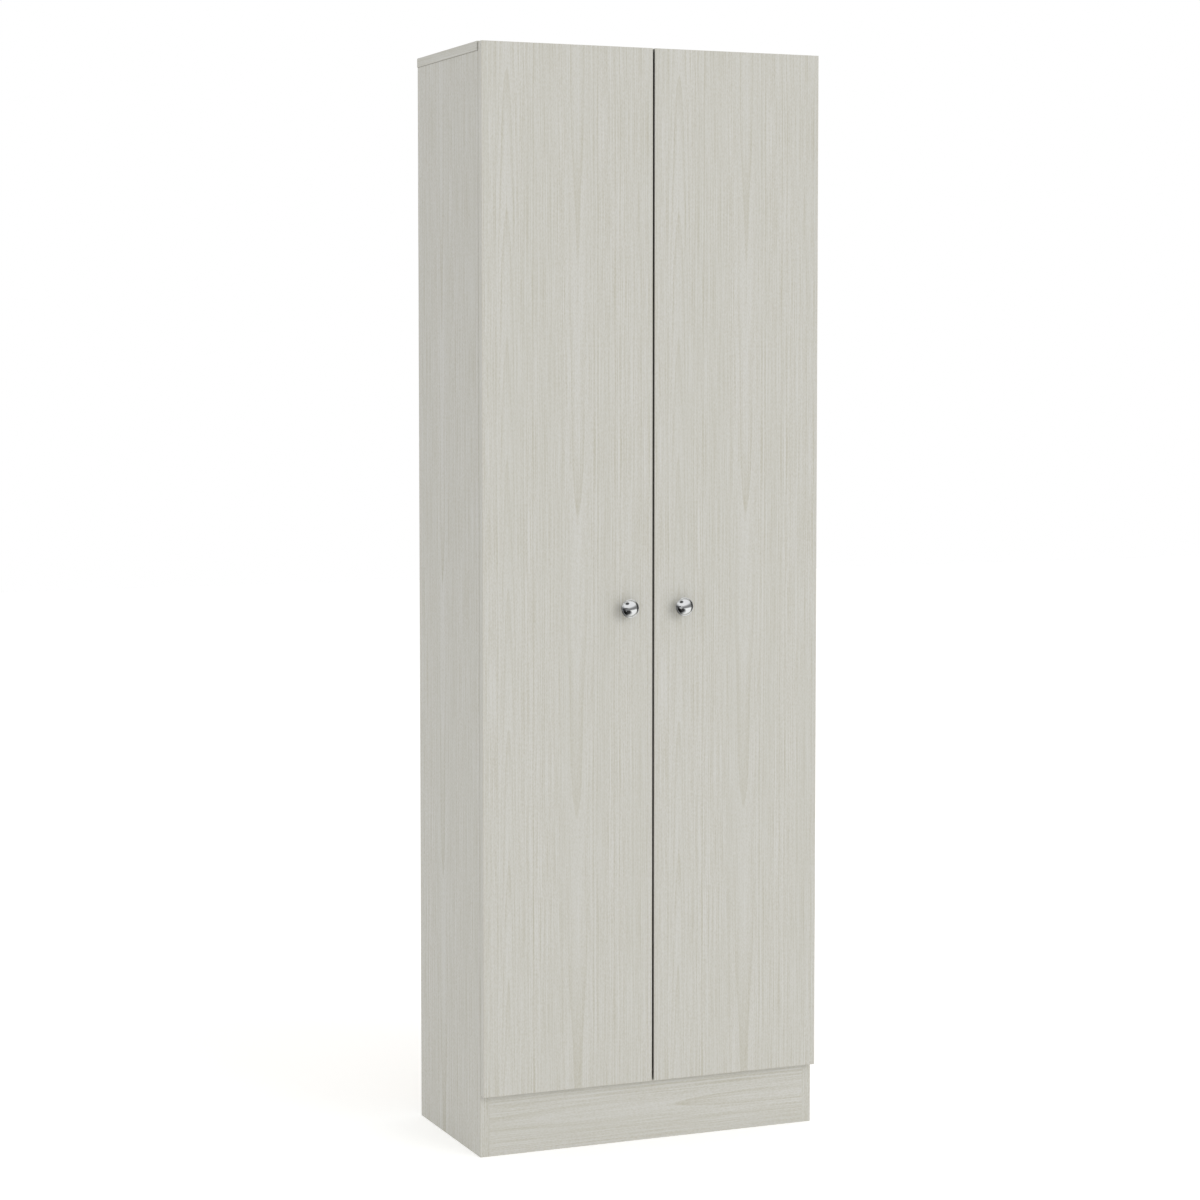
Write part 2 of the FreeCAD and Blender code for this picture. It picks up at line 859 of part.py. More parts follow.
def wall_brackets():
    brackets = []
    for x in (-bracket_from_centre, bracket_from_centre):
        low_x, high_x = x - bracket_width / 2, x + bracket_width / 2
        flat = block(low_x, high_x, back_y - bracket_leg, back_y,
                     top_z - bracket_thickness, top_z)
        upright = block(low_x, high_x, back_y - bracket_thickness, back_y,
                        top_z - bracket_leg, top_z)
        z = top_z - bracket_hole_drop
        hole = rod(bracket_hole_radius, (x, back_y - bracket_thickness - overrun, z),
                   (x, back_y + overrun, z))
        brackets.append(cut_all(fuse_all([flat, upright]), [hole] + bracket_screw_holes()))
    return brackets


def bracket_screws():
    screws = []
    for x, y in bracket_screw_places():
        seat = top_z - bracket_thickness
        tip = (x, y, seat + bracket_screw_length)
        crown = (x, y, seat - bracket_screw_head_height)
        screws.append(headed_screw(bracket_screw_radius, bracket_screw_head_radius,
                                   tip, (x, y, seat), crown))
    return screws


# Doors, knobs and bumpers, drawn for the left door
def knob_place():
    return -knob_from_centre, knob_centre_height


def left_door():
    panel = block(-half_width, -centre_gap / 2, door_front_y, door_back_y, door_bottom, door_top)
    panel = panel.makeFillet(door_edge_ease, panel.Edges)
    x, z = knob_place()
    knob_bore = rod(knob_screw_radius + bore_clearance, (x, door_front_y - overrun, z),
                    (x, door_back_y + overrun, z))
    return cut_all(panel, at_left_hinges(door_hinge_holes()) + [knob_bore])


def left_knob():
    x, z = knob_place()
    base_y = door_front_y

    def point(radius, height):
        return Vector(x + radius, base_y - height, z)

    rim_inside = knob_radius - knob_rim_round
    under = knob_rim_height - knob_rim_round
    rise = knob_dome_height
    # the dome is a round cap through the rim's top edge and the crown
    cap_radius_of_curve = (rim_inside ** 2 + rise ** 2) / (2 * rise)
    half_angle = math.asin(rim_inside / cap_radius_of_curve) / 2
    mid_height = knob_rim_height + rise - cap_radius_of_curve * (1 - math.cos(half_angle))
    mid_radius = cap_radius_of_curve * math.sin(half_angle)
    crown = point(0, knob_rim_height + rise)
    diagonal = knob_rim_round * math.sin(math.pi / 4)
    edges = [
        Part.LineSegment(point(0, 0), point(knob_base_radius, 0)),
        Part.LineSegment(point(knob_base_radius, 0), point(knob_base_radius, knob_base_height)),
        Part.Arc(point(knob_base_radius, knob_base_height),
                 point(knob_neck_radius, knob_neck_height),
                 point(rim_inside, under - knob_rim_round)),
        Part.Arc(point(rim_inside, under - knob_rim_round),
                 point(rim_inside + diagonal, under - diagonal),
                 point(knob_radius, under)),
        Part.Arc(point(knob_radius, under),
                 point(rim_inside + diagonal, under + diagonal),
                 point(rim_inside, knob_rim_height)),
        Part.Arc(point(rim_inside, knob_rim_height), point(mid_radius, mid_height), crown),
        Part.LineSegment(crown, point(0, 0)),
    ]
    wire = Part.Wire([edge.toShape() for edge in edges])
    solid = Part.Face(wire).revolve(Vector(x, base_y, z), Vector(0, 1, 0), 360)
    bore = rod(knob_screw_radius + bore_clearance, (x, base_y + overrun, z),
               (x, base_y - knob_screw_grip - bore_clearance, z))
    return solid.cut(bore)


def left_knob_screw():
    x, z = knob_place()
    tip = (x, door_front_y - knob_screw_grip, z)
    seat = (x, door_back_y, z)
    crown = (x, door_back_y + knob_screw_head_height, z)
    return headed_screw(knob_screw_radius, knob_screw_head_radius, tip, seat, crown)


def left_bumpers():
    # soft dots near the free corner, one against the bottom panel's front edge
    # and one against the fixed shelf's
    x = -centre_gap / 2 - bumper_margin
    heights = [kick_height + board / 2, shelf_bottom(fixed_place) + board / 2]
    return [rod(bumper_radius, (x, door_back_y, z), (x, front_y, z)) for z in heights]


# Save the carcass
left_panel = left_side_panel()
save("left_side_panel", [left_panel])
save("right_side_panel", mirrored([left_panel]))
save("top_panel", [top_panel()])
save("bottom_panel", [bottom_panel()])
save("kick_panel", [kick_panel()])
save("fixed_middle_shelf", [fixed_shelf()])
for place, number in enumerate(loose_shelf_numbers(), start=1):
    save("loose_shelf_" + str(place), [loose_shelf(number)])
for name, (low, high) in back_spans().items():
    save(name, [back_panel(low, high)])
save("back_panel_nails", back_nails())

cams = [cam_solid(cam, axis, direction) for face, direction, cam, axis in left_joints()]
bolts = [bolt_solid(face, direction) for face, direction, cam, axis in left_joints()]
capped = left_flat_joints()[len((cam_front_y, cam_back_y)):] + left_top_joints()
caps = [cap_solid(cam, axis) for face, direction, cam, axis in capped]
dowels = [rod(dowel_radius, start, end) for start, end in left_dowel_lines()]
save("cam_locks", both_sides(cams))
save("cam_bolts", both_sides(bolts))
save("cam_cover_caps", both_sides(caps))
save("wood_dowels", both_sides(dowels))
save("shelf_pins", both_sides(shelf_pins_left()))
save("wall_brackets", wall_brackets())
save("wall_bracket_screws", bracket_screws())

# Save the hinges and doors, once for each side
left_nodes = {
    "hinge_mounting_plates": at_left_hinges([mounting_plate()]),
    "hinge_plate_screws": at_left_hinges(plate_screws()),
    "hinge_arms": at_left_hinges([hinge_arm()]),
    "hinge_arm_screws": at_left_hinges(arm_screws()),
    "hinge_arm_pins": at_left_hinges(arm_pins()),
    "inner_hinge_links": at_left_hinges(inner_link()),
    "outer_hinge_links": at_left_hinges(outer_link_plates()),
    "hinge_cups": at_left_hinges([hinge_cup()]),
    "hinge_cup_pins": at_left_hinges(cup_pins()),
    "hinge_cup_screws": at_left_hinges(cup_screws()),
    "door": [left_door()],
    "knob": [left_knob()],
    "knob_screw": [left_knob_screw()],
    "door_bumpers": left_bumpers(),
}
for name, shapes in left_nodes.items():
    save("left_" + name, shapes)
    save("right_" + name, mirrored(shapes))

print("front edge of the sides at y", front_y, "back edge", back_y)
print("doors from z", door_bottom, "to", door_top, "back face at y", door_back_y)
print("hinges at z", hinge_heights)
print("shelves start at z", [shelf_bottom(number) for number in range(1, shelf_count + 1)])
for name, place in (("inner link on arm", inner_arm_pivot), ("outer link on arm", outer_arm_pivot),
                    ("inner link in cup", inner_cup_pivot), ("outer link in cup", outer_cup_pivot)):
    print(name, "at x", -half_width + place[0], "y", front_y + place[1])
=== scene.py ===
import math

import bpy
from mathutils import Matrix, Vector


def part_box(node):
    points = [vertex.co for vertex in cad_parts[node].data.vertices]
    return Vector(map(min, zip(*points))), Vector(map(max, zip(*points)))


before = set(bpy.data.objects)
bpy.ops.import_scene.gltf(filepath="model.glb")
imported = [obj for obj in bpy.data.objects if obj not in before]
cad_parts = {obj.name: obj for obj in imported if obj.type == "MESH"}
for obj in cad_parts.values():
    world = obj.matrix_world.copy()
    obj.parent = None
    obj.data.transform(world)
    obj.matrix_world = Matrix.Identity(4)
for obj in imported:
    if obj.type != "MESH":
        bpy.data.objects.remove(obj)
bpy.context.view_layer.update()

# Blender's names for the kinds of node that the materials use most
MATH = "ShaderNodeMath"
VECTOR = "ShaderNodeVectorMath"
NOISE = "ShaderNodeTexNoise"
RANGE = "ShaderNodeMapRange"
BLEND = "ShaderNodeMix"
PLACE = "ShaderNodeTexCoord"
JOIN_XYZ = "ShaderNodeCombineXYZ"
SPLIT_XYZ = "ShaderNodeSeparateXYZ"
SURFACE = "ShaderNodeBsdfPrincipled"
GLOW = "ShaderNodeEmission"
LIGHT_PATH = "ShaderNodeLightPath"
OUTPUT = "ShaderNodeOutputMaterial"
PER_METRE = 1000.0  # mm


def linear(text):
    """An sRGB hex colour as the linear colour that the shaders take."""
    shares = [int(text[i:i + 2], 16) / 255 for i in (1, 3, 5)]
    return [s / 12.92 if s <= 0.04045 else ((s + 0.055) / 1.055) ** 2.4 for s in shares] + [1.0]


def add(tree, kind, inputs=None, **settings):
    """Adds one node with its settings; each input is linked to a node or set to a value."""
    made = tree.nodes.new(kind)
    for name, value in settings.items():
        setattr(made, name, value)
    for socket, value in (inputs or {}).items():
        if isinstance(value, bpy.types.Node):
            value = value.outputs[0]
        if isinstance(value, bpy.types.NodeSocket):
            tree.links.new(value, made.inputs[socket])
        else:
            made.inputs[socket].default_value = value
    return made


def new_material(name):
    """An empty material, and its node tree."""
    material = bpy.data.materials.new(name)
    material.use_nodes = True
    material.node_tree.nodes.clear()
    return material, material.node_tree


def finish_material(tree, colour, roughness, height, height_metres, further=None):
    """The shader at the end of a material, with its bump and further inputs by name."""
    bump = add(tree, "ShaderNodeBump", {"Height": height, "Strength": 1.0, "Distance": height_metres})
    inputs = {"Base Color": colour, "Roughness": roughness, "Normal": bump, **(further or {})}
    add(tree, OUTPUT, {"Surface": add(tree, SURFACE, inputs)})


def give(material, *nodes):
    """Gives CAD nodes this material and no other."""
    for name in nodes:
        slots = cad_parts[name].data.materials
        slots.clear()
        slots.append(material)


# Whitewashed wood-grain melamine. Under a clear satin coat of resin lies a
# printed paper: pale grey-beige wood whose growth rings are cut lengthwise, so
# that they run as fine upright lines and close into long darts in two places.

# The rings lie round centre lines under the face, one for each strip of darts. The
# wood over a centre line is pale and smooth. Rings are counted outward from it, as
# rings x distance in mm ^ thinning + climb x mm along the board + first.
# sideways: mm across the paper to the strip
# depth: mm from the middle of the board's thickness to the centre line
# fibre: share of the fibre that shows in the smooth wood
STRIPS = [
    {"sideways": 16.0, "depth": 35.6, "rings": 0.19, "thinning": 1.0,
     "climb": -1 / 459, "first": -0.16, "fibre": 0.42},
    {"sideways": -105.0, "depth": 19.6, "rings": 2.10, "thinning": 0.563,
     "climb": 1 / 210, "first": -0.22, "fibre": 0.48},
]
SMOOTH_TO, BUSY_FROM = 7.0, 25.0  # mm sideways from a centre line to the end of smooth wood, and to busy wood
DARTS_REACH = 60.0  # mm sideways over which the climb fades, so that the lines further out stay upright
SINKS_IN_BOARD = 0.35  # mm that a centre line sinks in 1 mm through the board: both faces differ a little
WAVE_MM, WAVE_RINGS = 43, 0.06  # the rings' slow wave up the board: its length over two pi, and its height
MERGING_RINGS = 2.0  # over how many rings the rings of one strip run into those of the other
LATE_FROM, LATE_TO = 0.30, 0.93  # share of a ring in which its wood darkens
RING_STOPS, NEXT_RING = 0.94, 0.99  # share of a ring in which it turns pale again
FAINT_RING, STRONG_RING = 0.30, 0.62  # strength of the ring lines in busy wood, by chance
DART_LINE = 1.8  # strength of the ring lines in the smooth wood of a strip
RING_IN_FIBRES = 7.0  # mm that one ring takes up in the pattern of the long fibres

# Soft patterns: size in mm across the grain, along it and through the board, and detail.
# The first three bend the rings, speckle is the dots of the print, and cloud makes
# broad paler and darker lanes.
PATTERNS = [
    ("wander", (150.0, 900.0, 90.0), 1.0),
    ("crowding", (11.0, 900.0, 40.0), 1.0),
    ("ripple", (24.0, 46.0, 9.0), 1.0),
    ("speckle", (1.4, 4.0, 2.0), 0.0),
    ("cloud", (42.0, 900.0, 60.0), 2.0),
]
# over how many mm these bend the rings sideways
BENDS = (("wander", 9.0), ("crowding", 2.4), ("ripple", 1.4))
STRAIGHT_FIBRE_MM = 3.3  # about the width of one pale or dark line
# how much each kind of fibre darkens the print
FIBRE_DARKNESS = (("long_fibre", 0.26), ("straight_fibre", 0.64), ("short_fibre", 1.00), ("broken_fibre", 0.16))
# the darkness of the print between its patterns
PLAIN_PAPER = 0.32


def wood_grain_print():
    """The printed paper as a node group. Its inputs are places on the board in mm."""
    group = bpy.data.node_groups.new("wood_grain_print", "ShaderNodeTree")
    for name in ("Across", "Along", "Through"):
        group.interface.new_socket(name, in_out="INPUT", socket_type="NodeSocketFloat")
    for name in ("Darkness", "Cloud"):
        group.interface.new_socket(name, in_out="OUTPUT", socket_type="NodeSocketFloat")
    given = add(group, "NodeGroupInput")
    across, along, through = given.outputs[0], given.outputs[1], given.outputs[2]
    place = add(group, JOIN_XYZ, {"X": across, "Y": along, "Z": through})

    patterns = {}
    for name, size, detail in PATTERNS:
        scaled = add(group, VECTOR, {0: place, 1: size}, operation="DIVIDE")
        soft = {"Vector": scaled, "Scale": 1.0, "Detail": detail, "Roughness": 0.55}
        patterns[name] = add(group, NOISE, soft)

    moved = across
    for name, reach in BENDS:
        centred = add(group, MATH, {0: patterns[name], 1: 0.5}, operation="SUBTRACT")
        moved = add(group, MATH, {0: centred, 1: reach, 2: moved}, operation="MULTIPLY_ADD")

    # rings: the distance to a centre line, counted in rings; busy is 1 away from the
    # strips and falls to a strip's share of fibre inside it
    busy = None
    rings = None
    for strip in STRIPS:
        buried = {0: through, 1: SINKS_IN_BOARD, 2: strip["depth"]}
        buried = add(group, MATH, buried, operation="MULTIPLY_ADD")
        sideways = add(group, MATH, {0: moved, 1: strip["sideways"]}, operation="SUBTRACT")
        aside = add(group, MATH, {0: sideways}, operation="ABSOLUTE")
        off_strip = {0: aside, 1: SMOOTH_TO, 2: BUSY_FROM, 3: strip["fibre"], 4: 1.0}
        off_strip = add(group, RANGE, off_strip, interpolation_type="SMOOTHSTEP")
        busy = off_strip if busy is None else add(group, MATH, {0: busy, 1: off_strip}, operation="MINIMUM")
        square = add(group, MATH, {0: buried, 1: buried}, operation="MULTIPLY")
        square = add(group, MATH, {0: sideways, 1: sideways, 2: square}, operation="MULTIPLY_ADD")
        count = add(group, MATH, {0: square, 1: strip["thinning"] / 2}, operation="POWER")
        count = add(group, MATH, {0: count, 1: strip["rings"], 2: strip["first"]}, operation="MULTIPLY_ADD")
        wave = add(group, MATH, {0: along, 1: 1 / WAVE_MM}, operation="MULTIPLY")
        wave = add(group, MATH, {0: wave}, operation="SINE")
        climbed = add(group, MATH, {0: along, 1: strip["climb"]}, operation="MULTIPLY")
        climbed = add(group, MATH, {0: wave, 1: WAVE_RINGS, 2: climbed}, operation="MULTIPLY_ADD")
        near = {0: aside, 1: 0.0, 2: DARTS_REACH, 3: 1.0, 4: 0.0}
        near = add(group, RANGE, near, interpolation_type="SMOOTHSTEP")
        count = add(group, MATH, {0: near, 1: climbed, 2: count}, operation="MULTIPLY_ADD")
        if rings is not None:
            count = add(group, MATH, {0: rings, 1: count, 2: MERGING_RINGS}, operation="SMOOTH_MIN")
        rings = count

    # each ring darkens toward its late wood and stops at a sharp line
    part_of_ring = add(group, MATH, {0: rings}, operation="FRACT")
    whole_ring = add(group, MATH, {0: rings}, operation="FLOOR")
    toward_end = add(group, RANGE, {0: part_of_ring, 1: LATE_FROM, 2: LATE_TO, 3: 0.0, 4: 1.0})
    late_wood = add(group, MATH, {0: toward_end, 1: 2.0}, operation="POWER")
    ring_end = add(group, RANGE, {0: part_of_ring, 1: RING_STOPS, 2: NEXT_RING, 3: 1.0, 4: 0.0})
    ring_line = add(group, MATH, {0: late_wood, 1: ring_end}, operation="MULTIPLY")
    chance = add(group, "ShaderNodeTexWhiteNoise", {"W": whole_ring}, noise_dimensions="1D")
    strength = add(group, RANGE, {0: chance, 3: FAINT_RING, 4: STRONG_RING})
    # in the smooth wood of a strip the ring lines stand out and draw the darts
    in_strip = add(group, RANGE, {0: busy, 1: 0.42, 2: 0.92, 3: DART_LINE, 4: FAINT_RING})
    strength = add(group, MATH, {0: strength, 1: in_strip}, operation="MAXIMUM")
    ring_line = add(group, MATH, {0: ring_line, 1: strength}, operation="MULTIPLY")

    # long fibres follow the rings, so they bend with them; short and broken ones don't
    across_rings = add(group, MATH, {0: rings, 1: RING_IN_FIBRES}, operation="MULTIPLY")
    in_rings = add(group, JOIN_XYZ, {"X": across_rings, "Y": along})
    straight = add(group, JOIN_XYZ, {"X": moved, "Y": along})
    for name, where, size in [
        ("long_fibre", in_rings, (1.3, 420.0, 1.0)),
        ("short_fibre", straight, (1.0, 130.0, 1.0)),
        ("broken_fibre", straight, (1.9, 26.0, 1.0)),
    ]:
        scaled = add(group, VECTOR, {0: where, 1: size}, operation="DIVIDE")
        fibre = {"Vector": scaled, "Scale": 1.0, "Detail": 0.0}
        patterns[name] = add(group, NOISE, fibre, noise_dimensions="2D")
    # straight fibres run from end to end, side by side
    fibre = {"W": moved, "Scale": 1 / STRAIGHT_FIBRE_MM, "Detail": 0.0}
    patterns["straight_fibre"] = add(group, NOISE, fibre, noise_dimensions="1D")

    darkness = 0.0
    for name, amount in FIBRE_DARKNESS:
        centred = add(group, MATH, {0: patterns[name], 1: 0.5}, operation="SUBTRACT")
        darkness = add(group, MATH, {0: centred, 1: amount, 2: darkness}, operation="MULTIPLY_ADD")
    darkness = add(group, MATH, {0: darkness, 1: busy}, operation="MULTIPLY")
    # each of these has a middle, and darkens the print above it and lightens it below
    for source, middle, amount in [
        (ring_line, 0.0, 0.25),
        (patterns["speckle"], 0.5, 0.86),
        (patterns["cloud"], 0.5, 0.12),
        (busy, 1.0, 0.20),
    ]:
        centred = add(group, MATH, {0: source, 1: middle}, operation="SUBTRACT")
        darkness = add(group, MATH, {0: centred, 1: amount, 2: darkness}, operation="MULTIPLY_ADD")
    lifted = add(group, MATH, {0: darkness, 1: PLAIN_PAPER}, operation="ADD", use_clamp=True)
    add(group, "NodeGroupOutput", {"Darkness": lifted, "Cloud": patterns["cloud"]})
    return group


PRINT = wood_grain_print()
# painted shade: a fine dark line is painted where the top panel lies on these boards, for the shadow under its
# edge
BUTTED_AT_TOP = ("left_side_panel", "right_side_panel")
# painted shade darkens the edges of these in the narrow gap between them, most where they are closed in
MEET_IN_A_GAP = ("left_door", "right_door")
JOINT_LINE, JOINT_FADED = 0.5, 0.9  # mm under the top panel that the painted shade line reaches, and where it has faded
GAP_SHADE_METRES = 0.012  # how near another board has to be for the painted shade to fall between them
SHADE_DARKEST_AT, SHADE_GONE_AT = 0.15, 0.51  # share of open air before a spot at which its painted shade is darkest, and gone
BAND_ASIDE = 60.0  # mm sideways on the paper to the part that the edge bands are cut from
SEAM_AT, SEAM_HALF_WIDTH = 0.7, 0.28  # mm from the edge to the glue line of an edge band, and its half width
WORN_TO = 1.6  # mm from the edge to where hands no longer rub the print
RUBBED_MM = (9.0, 9.0, 9.0)  # size of the rubbed patches
PRINT_RELIEF = 0.00004  # metres that the pressed grain lies under the face


def melamine_board(node, along_axis, through_axis, flip, aside, start, depth):
    """Melamine for one board. The axes are 0, 1 or 2 for X, Y or Z. Aside and start
    say which part of the printed paper the board got, in mm, and depth how dark its
    grain came out."""
    material, tree = new_material("whitewashed_melamine_" + node)
    low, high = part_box(node)
    middle, half = (low + high) / 2, (high - low) / 2 * PER_METRE
    across_axis = 3 - along_axis - through_axis
    coordinates = add(tree, PLACE)
    from_middle = add(tree, VECTOR, {0: coordinates.outputs["Object"], 1: middle}, operation="SUBTRACT")
    in_mm = add(tree, VECTOR, {0: from_middle, "Scale": PER_METRE}, operation="SCALE")
    place = add(tree, SPLIT_XYZ, {0: in_mm})
    facing = add(tree, SPLIT_XYZ, {0: coordinates.outputs["Normal"]})

    # the edges have bands of their own, and the grain of a band runs along its edge
    on_band, on_end = [
        add(tree, MATH, {0: add(tree, MATH, {0: facing.outputs[axis]}, operation="ABSOLUTE"), 1: 0.7},
            operation=sense)
        for axis, sense in ((through_axis, "LESS_THAN"), (along_axis, "GREATER_THAN"))
    ]
    across = add(tree, MATH, {0: place.outputs[across_axis], 1: flip, 2: aside}, operation="MULTIPLY_ADD")
    along = add(tree, MATH, {0: place.outputs[along_axis], 1: start}, operation="ADD")
    band_across = add(tree, MATH, {0: place.outputs[through_axis], 1: BAND_ASIDE}, operation="ADD")
    print_across = add(tree, BLEND, {0: on_band, 2: across, 3: band_across})
    print_along = add(tree, BLEND, {0: on_end, 2: along, 3: across})
    paper = add(tree, "ShaderNodeGroup", node_tree=PRINT)
    print_place = (print_across.outputs[0], print_along.outputs[0], place.outputs[through_axis])
    for socket, source in enumerate(print_place):
        tree.links.new(source, paper.inputs[socket])

    # the distance to the nearest edge of the board is the second smallest of
    # the distances to its three pairs of faces
    reach = add(tree, VECTOR, {0: in_mm}, operation="ABSOLUTE")
    inside = add(tree, SPLIT_XYZ, {0: add(tree, VECTOR, {0: half, 1: reach}, operation="SUBTRACT")})
    smaller = add(tree, MATH, {0: inside.outputs[0], 1: inside.outputs[1]}, operation="MINIMUM")
    larger = add(tree, MATH, {0: inside.outputs[0], 1: inside.outputs[1]}, operation="MAXIMUM")
    second = add(tree, MATH, {0: larger, 1: inside.outputs[2]}, operation="MINIMUM")
    edge_distance = add(tree, MATH, {0: smaller, 1: second}, operation="MAXIMUM")
    on_seam = add(tree, MATH, {0: edge_distance, 1: SEAM_AT, 2: SEAM_HALF_WIDTH}, operation="COMPARE")
    rubbed_place = add(tree, VECTOR, {0: in_mm, 1: RUBBED_MM}, operation="DIVIDE")
    rubbed = add(tree, NOISE, {"Vector": rubbed_place, "Scale": 1.0, "Detail": 3.0})
    near_edge = add(tree, RANGE, {0: edge_distance, 1: 0.0, 2: WORN_TO, 3: 0.45, 4: 0.0})
    wear = add(tree, MATH, {0: near_edge, 1: rubbed}, operation="MULTIPLY")

    # plain paper keeps its darkness at every depth of the grain
    lightened = PLAIN_PAPER * (1 - depth)
    grain = add(tree, MATH, {0: paper.outputs["Darkness"], 1: depth, 2: lightened}, operation="MULTIPLY_ADD")
    seam_dark = add(tree, MATH, {0: on_seam, 1: 0.25, 2: grain}, operation="MULTIPLY_ADD", use_clamp=True)
    colour = add(tree, BLEND, {0: seam_dark, 6: linear("#D3D2CE"), 7: linear("#BAB6A7")}, data_type="RGBA")
    tint = add(tree, RANGE, {0: paper.outputs["Cloud"], 1: 0.35, 2: 0.7, 3: 0.0, 4: 0.35})
    colour = add(tree, BLEND, {0: tint, 6: colour.outputs[2], 7: linear("#C7C6BE")}, data_type="RGBA")
    colour = add(tree, BLEND, {0: wear, 6: colour.outputs[2], 7: linear("#DAD8D2")}, data_type="RGBA")
    if node in BUTTED_AT_TOP:
        # painted shade: the shadow under the top panel's edge, as a dark line
        from_top = add(tree, MATH, {0: float(half[2]), 1: place.outputs[2]}, operation="SUBTRACT")
        painted_top_shade = add(tree, RANGE, {0: from_top, 1: JOINT_LINE, 2: JOINT_FADED, 3: 0.66, 4: 0.0})
        colour = add(tree, BLEND, {0: painted_top_shade, 6: colour.outputs[2], 7: linear("#58554D")}, data_type="RGBA")
    if node in MEET_IN_A_GAP:
        # painted shade: the gap's ambient occlusion is painted into the colour as a dark tone
        open_share = add(tree, "ShaderNodeAmbientOcclusion", {"Distance": GAP_SHADE_METRES}, samples=4)
        painted_gap_shade = add(tree, RANGE, {0: open_share.outputs["AO"], 1: SHADE_DARKEST_AT, 2: SHADE_GONE_AT, 3: 0.92, 4: 0.0})
        colour = add(tree, BLEND, {0: painted_gap_shade, 6: colour.outputs[2], 7: linear("#35332C")}, data_type="RGBA")
    roughness = add(tree, RANGE, {0: paper.outputs["Darkness"], 3: 0.40, 4: 0.52})
    roughness = add(tree, MATH, {0: wear, 1: 0.25, 2: roughness}, operation="MULTIPLY_ADD")
    pressed = add(tree, MATH, {0: 1.0, 1: seam_dark}, operation="SUBTRACT")
    finish_material(tree, colour.outputs[2], roughness, pressed, PRINT_RELIEF)
    give(material, node)


# both doors are cut from the same part of the paper; the sides' grain came out strongest
for board, along_axis, through_axis, flip, aside, start, depth in [
    ("left_door", 2, 1, 1.0, 0.0, 0.0, 0.94),
    ("right_door", 2, 1, 1.0, 0.0, 0.0, 0.94),
    ("left_side_panel", 2, 0, -1.0, 45.0, 60.0, 1.50),
    ("right_side_panel", 2, 0, 1.0, -20.0, -70.0, 1.50),
    ("top_panel", 0, 2, 1.0, 70.0, 310.0, 1.0),
    ("bottom_panel", 0, 2, 1.0, -30.0, 520.0, 1.0),
    ("kick_panel", 0, 1, 1.0, 12.0, 45.0, 1.0),
    ("fixed_middle_shelf", 0, 2, 1.0, 10.0, -380.0, 1.0),
    ("loose_shelf_1", 0, 2, 1.0, 55.0, -120.0, 1.0),
    ("loose_shelf_2", 0, 2, -1.0, 25.0, 180.0, 1.0),
    ("loose_shelf_3", 0, 2, 1.0, -65.0, 430.0, 1.0),
    ("loose_shelf_4", 0, 2, -1.0, 80.0, -540.0, 1.0),
]:
    melamine_board(board, along_axis, through_axis, flip, aside, start, depth)


# Hardboard, pressed from wood fibre. Its inner face carries the same print, smooth and
# satin, and its back is bare: brown, matte and felted, in cloudy shades.
FELT_MM = (2.2, 2.2, 2.2)  # size of the felted fibre
MOTTLE_MM = (60.0, 60.0, 90.0)  # size of the clouds in its brown
FELT_RELIEF = 0.0002  # metres


def hardboard(node):
    """Hardboard for one back panel: printed toward the front, bare toward the wall."""
    material, tree = new_material("hardboard_" + node)
    coordinates = add(tree, PLACE)
    in_mm = add(tree, VECTOR, {0: coordinates.outputs["Object"], "Scale": PER_METRE}, operation="SCALE")
    place = add(tree, SPLIT_XYZ, {0: in_mm})
    paper = add(tree, "ShaderNodeGroup", node_tree=PRINT)
    for socket, source in enumerate((place.outputs[0], place.outputs[2], place.outputs[1])):
        tree.links.new(source, paper.inputs[socket])
    facing = add(tree, SPLIT_XYZ, {0: coordinates.outputs["Normal"]})
    inner = add(tree, MATH, {0: facing.outputs[1], 1: -0.5}, operation="LESS_THAN")
    felt_place = add(tree, VECTOR, {0: in_mm, 1: FELT_MM}, operation="DIVIDE")
    felt = add(tree, NOISE, {"Vector": felt_place, "Scale": 1.0, "Detail": 4.0, "Roughness": 0.65})
    mottle_place = add(tree, VECTOR, {0: in_mm, 1: MOTTLE_MM}, operation="DIVIDE")
    mottle = add(tree, NOISE, {"Vector": mottle_place, "Scale": 1.0, "Detail": 3.0})
    shade = add(tree, RANGE, {0: mottle, 1: 0.3, 2: 0.7})
    bare = add(tree, BLEND, {0: shade, 6: linear("#A58763"), 7: linear("#987955")}, data_type="RGBA")
    specks = add(tree, RANGE, {0: felt, 1: 0.42, 2: 0.70, 3: 0.0, 4: 0.55})
    bare = add(tree, BLEND, {0: specks, 6: bare.outputs[2], 7: linear("#C2A684")}, data_type="RGBA")
    printed = {0: paper.outputs["Darkness"], 6: linear("#D1CFCA"), 7: linear("#B8B4A6")}
    printed = add(tree, BLEND, printed, data_type="RGBA")
    colour = add(tree, BLEND, {0: inner, 6: bare.outputs[2], 7: printed.outputs[2]}, data_type="RGBA")
    roughness = add(tree, BLEND, {0: inner, 2: 0.82, 3: 0.58})
    height = add(tree, BLEND, {0: inner, 2: felt, 3: 0.5})
    finish_material(tree, colour.outputs[2], roughness, height.outputs[0], FELT_RELIEF)
    give(material, node)


hardboard("upper_back_panel")
hardboard("lower_back_panel")


